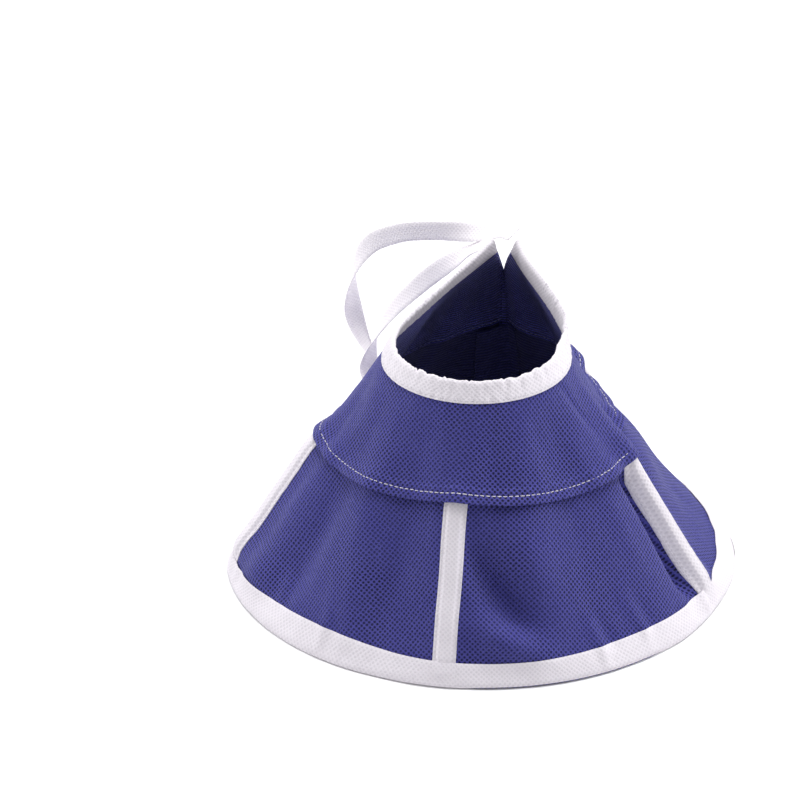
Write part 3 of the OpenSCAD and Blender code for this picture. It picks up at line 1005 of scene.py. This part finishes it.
def rib_level(x, v, bulge):
    """Height of a rib tape's outer face across it: flat flanges and the stay's rounded hump."""
    hump = smooth(4.3 * MM - np.abs(x), 0.0, (1.2 + 1.6 * bulge) * MM)
    ends = smooth(0.945 - v, 0.0, 0.035)
    edge = 0.10 * MM * bell(np.abs(x) - 5.5 * MM, 0.5 * MM)
    return 0.93 * MM + (1.14 + 0.75 * bulge) * MM * hump * ends + edge


def both_ways(*half):
    """The numbers, which start at 0, and the same below 0."""
    return np.array([*(-x for x in half[:0:-1]), *half])


def make_rib(name):
    """The white tape over a rib."""
    angle, body, bulge = RIB_BODIES[name]
    x = both_ways(0, 0.6, 1.3, 2, 2.5, 3.0, 3.5, 4.0, 4.5, 5.0, 5.5, 5.85, 6) * 0.98 * MM
    v = np.arange(0.372, 0.9535, 1.7 * MM / SLANT)
    x, v = np.meshgrid(x, v)
    sway = 0.10 * MM * waves(angle + v * 40, v, 83 + int(abs(angle)), 6, 0.05, 0.02, 1.0)
    phi = rib_angle(angle, v) + (x + sway) / per_degree(v)
    level = rib_level(x, v, bulge) + 0.05 * MM * waves(phi, v, 85, 10, 0.012, 0.005, 1.0)
    round_off = np.where(np.abs(x) > 5.8 * MM, 0.5, 1.0)
    outer = layer(phi, v, level - 0.42 * MM * (1 - round_off))
    inner = layer(phi, v, level - 0.40 * MM)
    uv = np.stack([x, v * SLANT], -1)
    obj = shell("rib_tape_" + name + "_tape", outer, inner, uv, WHITE)
    fasten(obj, body, "white_tape", "rib_tape_" + name)


def make_stay(name):
    """The flexible strip inside a rib, lying on the skirt under the tape."""
    angle, body, _ = RIB_BODIES[name]
    x = both_ways(0.0, 1.3, 2.6, 2.92, 3.0) * MM
    x, v = np.meshgrid(x, np.linspace(STAY_FROM, STAY_TO, 60))
    phi = rib_angle(angle, v) + x / per_degree(v)
    half = np.where(np.abs(x) > 2.95 * MM, 0.20, np.where(np.abs(x) > 2.8 * MM, 0.38, 0.44)) * MM
    outer = layer(phi, v, STAY_N + half)
    inner = layer(phi, v, STAY_N - half)
    obj = shell("rib_stay_" + name + "_strip", outer, inner, np.stack([x, v * SLANT], -1), PLASTIC)
    fasten(obj, body, "stay_plastic", "rib_stay_" + name)


def make_rib_stitches(name):
    """A row of white thread along each edge of a rib's tape."""
    angle, body, bulge = RIB_BODIES[name]
    runs = []
    for side in (-1, 1):
        s = np.arange(0.405 * SLANT, 0.915 * SLANT, 2.6 * MM)
        x = np.full_like(s, side * 4.95 * MM)

        def at(s):
            v = s / SLANT
            phi = rib_angle(angle, v) + x / per_degree(v)
            return layer(phi, v, rib_level(x, v, bulge) + 0.05 * MM), outward(phi, v)

        start, up = at(s)
        end, _ = at(s + 2.1 * MM)
        runs.append((start, end, up))
    start, end, up = (np.concatenate([r[k] for r in runs]) for k in range(3))
    fasten(stitch_run("rib_stitches_" + name, start, end, up, THREAD, 0.00016), body, "white_tape")


def make_binding_stitches(gore, which):
    """A row of white thread near the free edge of a binding tape."""
    low, high = GORES[gore]
    size = NECK_PER_DEGREE if which == "neck" else HEM_PER_DEGREE
    count = int((high - low) * size / (2.7 * MM))
    edge_low = low if abs(low) < 180 else low + 4.5 * MM / size
    edge_high = high if abs(high) < 180 else high - 4.5 * MM / size
    stop = np.linspace(edge_low, edge_high, count + 1)
    first, second = stop[:-1] + 0.25 * MM / size, stop[1:] - 0.25 * MM / size

    def at(phi):
        if which == "neck":
            v = np.full_like(phi, 9.9 * MM / SLANT)
            return wall(phi, v) + (1.34 * MM) * outward(phi, v), outward(phi, v)
        up = np.full_like(phi, 10.2 * MM)
        return hem_surface(phi, np.full_like(phi, 1.06 * MM), up), outward(phi, 1 - up / SLANT)

    start, up = at(first)
    end, _ = at(second)
    sew(stitch_run(which + "_stitches_" + gore, start, end, up, THREAD, 0.00016), gore, "white_tape")


# The closure


# The underlap's reach behind the left wing, and where it starts and ends down the wall
LAP_W = 0.022
LAP_FROM, LAP_TO = 0.41, 0.90


def behind_left(d, v, n):
    """A point on the left wing, d from the closure line and n out of the wall."""
    return layer(-180 + d / per_degree(v), v, n)


def inside_right(d, v, n):
    """The same on the right wing."""
    return layer(180 - d / per_degree(v), v, n)


def make_underlap():
    """The strip that is sewn inside the right wing, and reaches behind the left one."""
    v = np.linspace(LAP_FROM, LAP_TO, 64)
    course = ((inside_right, 10 * MM, -1.5 * MM), (inside_right, 4 * MM, -2.2 * MM),
              (behind_left, 3 * MM, -3.8 * MM), (behind_left, LAP_W * 0.6, -3.8 * MM),
              (behind_left, LAP_W, -3.8 * MM))

    def face(lift):
        marks = [place(d, v, n + lift) for place, d, n in course]
        steps = np.linspace(0, 1, 8, endpoint=False)
        grid = [a * (1 - k) + b * k for a, b in zip(marks[:-1], marks[1:]) for k in steps]
        return np.stack([*grid, marks[-1]], 1)

    outer, inner = face(0.45 * MM), face(0.0)
    run = path_width(outer[30])
    obj = shell("closure_underlap_cloth", outer, inner, strip_map(run, v), NAVY_PAINTED_SHADE)
    fasten(obj, "right_wing", "navy_lining", "closure_underlap")


def make_closure_lap():
    """The left wing's turned edge, reaching a little way across the inside of the right wing."""
    v = np.linspace(NOTCH_H / SLANT - 0.012, LAP_FROM + 0.02, 60)

    def face(n):
        near = behind_left(2.6 * MM, v, n)
        far = inside_right(2.4 * MM * smooth(v, v[0], v[0] + 0.03), v, n)
        return np.stack([near * (1 - k) + far * k for k in np.linspace(0, 1, 7)], 1)

    outer, inner = face(-1.35 * MM), face(-1.75 * MM)
    uv = strip_map(np.linspace(0, 5.0, 7) * MM, v)
    obj = shell("closure_lap_edge", outer[:, ::-1], inner[:, ::-1], uv, NAVY_PAINTED_LIGHT)
    fasten(obj, "left_wing", "navy_lining")


# The width and thickness of the hook tape and of the loop tape
GRIP_W, GRIP_T = 16 * MM, 0.8 * MM


def make_grip(node, body, n, start, material):
    """Hook or loop tape behind the left wing, at start from the closure line and n out of the wall."""
    v = np.linspace(LAP_FROM + 0.03, LAP_TO - 0.03, 60)
    d, v = np.meshgrid(np.linspace(0, 1, 13) * GRIP_W + start, v)
    from_edge = np.minimum(d - start, start + GRIP_W - d)
    thick = GRIP_T * (0.55 + 0.45 * smooth(from_edge, -0.3 * MM, 1.2 * MM))
    outer = behind_left(d, v, n + (GRIP_T / 2 + thick / 2))
    inner = behind_left(d, v, n + (GRIP_T / 2 - thick / 2))
    obj = shell(node + "_pile", outer, inner, np.stack([d, v * SLANT], -1), material)
    fasten(obj, body, "grip_tape", node)


# The turned edge of a wing, from outside to inside: (out of the wall, in from the cut edge), in mm
FOLD_PATH = ((0.62, 3.4), (0.66, 2.2), (0.66, 1.0), (0.58, 0.25), (0.25, 0.0), (-0.30, 0.0), (-0.75, 0.6),
             (-0.86, 1.4), (-0.88, 2.4), (-0.88, 3.4))
FOLD_T = 0.35 * MM


def make_edge_fold(side):
    """Each wing's cloth turned in over its closure edge; side is 1 on the right and -1 on the left."""
    wing = "right" if side > 0 else "left"
    v = np.concatenate([np.linspace(0.072, 0.3, 30), np.linspace(0.31, 0.922, 70)])
    over_yoke = 0.6 * MM * smooth(v, 0.20, 0.29)
    cut = notch_cut(v) + 0.35 * MM

    def place(d, level):
        phi = side * (180 - (cut + d) / per_degree(v))
        return wall(phi, v) + level[..., None] * outward(phi, v)

    outer, inner = [], []
    for n, d in FOLD_PATH:
        d = d * MM + (1.2 * MM if n < -0.5 else 0.0)
        level = n * MM + over_yoke * (n > 0.2)
        outer.append(place(d, level))
        if abs(n) > 0.3:
            inner.append(place(d, level - math.copysign(FOLD_T, n)))
        else:
            inner.append(place(d + FOLD_T, level))
    outer, inner = np.stack(outer, 1), np.stack(inner, 1)
    uv = strip_map(path_width(outer[50]), v)
    outer, inner, uv = (grid[:, ::side] for grid in (outer, inner, uv))
    obj = shell("closure_edge_back_" + wing, outer, inner, uv, BLUE)
    fasten(obj, wing + "_wing", "blue_fabric")


# The stage


def make_stage():
    """The floor just below the hem, and the even light all round."""
    k = np.linspace(-4.0, 4.0, 9)
    x, y = np.meshgrid(k, -k)
    points = np.stack([x, y, np.full_like(x, -0.0004)], -1)
    faces = grid_faces(np.arange(x.size).reshape(x.shape)).tolist()
    floor = new_object("floor", points, faces, np.stack([x, y], -1), floor_material())
    world = bpy.data.worlds.new("studio")
    bpy.context.scene.world = world
    world.use_nodes = True
    sky = world.node_tree.nodes["Background"].inputs
    sky["Color"].default_value = rgb(0.97, 0.97, 1.0)
    sky["Strength"].default_value = 0.40


def turn_to(obj, direction):
    """Points a light or the camera, and puts it in the scene."""
    obj.rotation_mode = "QUATERNION"
    obj.rotation_quaternion = direction.to_track_quat("-Z", "Y")
    bpy.context.scene.collection.objects.link(obj)


def area_light(name, at, size, power):
    """A white softbox at a place, facing the collar's middle."""
    light = bpy.data.lights.new(name, "AREA")
    light.shape = "RECTANGLE"
    light.size = light.size_y = size
    light.energy = power
    obj = bpy.data.objects.new(name, light)
    obj.location = at
    turn_to(obj, Vector((0.0, 0.0, 0.07)) - Vector(at))


def make_lights():
    area_light("top_softbox", (0.15, 0.30, 1.9), 1.4, 34)
    area_light("left_softbox", (-1.5, 0.10, 0.75), 0.8, 11)
    area_light("right_softbox", (1.40, 0.30, 0.80), 0.5, 9)


def make_camera():
    """The photo's camera, from the front and a little to the right."""
    data = bpy.data.cameras.new("camera")
    data.lens, data.sensor_width = 119.25, 36.0
    data.clip_start, data.clip_end = 0.05, 20
    camera = bpy.data.objects.new("camera", data)
    elevation, azimuth, distance = math.radians(26.5), math.radians(9.0), 1.4045
    back = Vector((math.cos(elevation) * math.sin(azimuth), -math.cos(elevation) * math.cos(azimuth),
                   math.sin(elevation)))
    camera.location = Vector((-0.04267, -0.00099, 0.090)) + back * distance
    turn_to(camera, -back)
    bpy.context.scene.camera = camera
    bpy.context.scene.view_settings.view_transform = "Standard"


def make_collar():
    for name, (body, route) in TIE_ROUTES.items():
        make_tie(name, body, route)
    for name in RIB_BODIES:
        make_rib(name)
    for name in RIB_BODIES:
        make_rib_stitches(name)
        make_stay(name)
    for gore in GORES:
        hem = make_hem_binding(gore)
        neck = make_neck_binding(gore)
        skirt = make_skirt(gore, hem)
        yoke = make_yoke(gore, skirt, neck)
        make_lining(gore, skirt)
        make_facing(gore, yoke)
        make_yoke_stitches(gore)
        make_facing_stitches(gore)
        make_binding_stitches(gore, "hem")
        make_binding_stitches(gore, "neck")
    make_hem_join()
    make_hem_peep()
    make_underlap()
    make_closure_lap()
    make_grip("loop_tape", "right_wing", -3.1 * MM, 3.5 * MM, LOOP)
    make_grip("hook_tape", "left_wing", -1.7 * MM, 2.0 * MM, HOOK)
    make_edge_fold(1)
    make_edge_fold(-1)


make_camera()
make_lights()
make_stage()
make_collar()
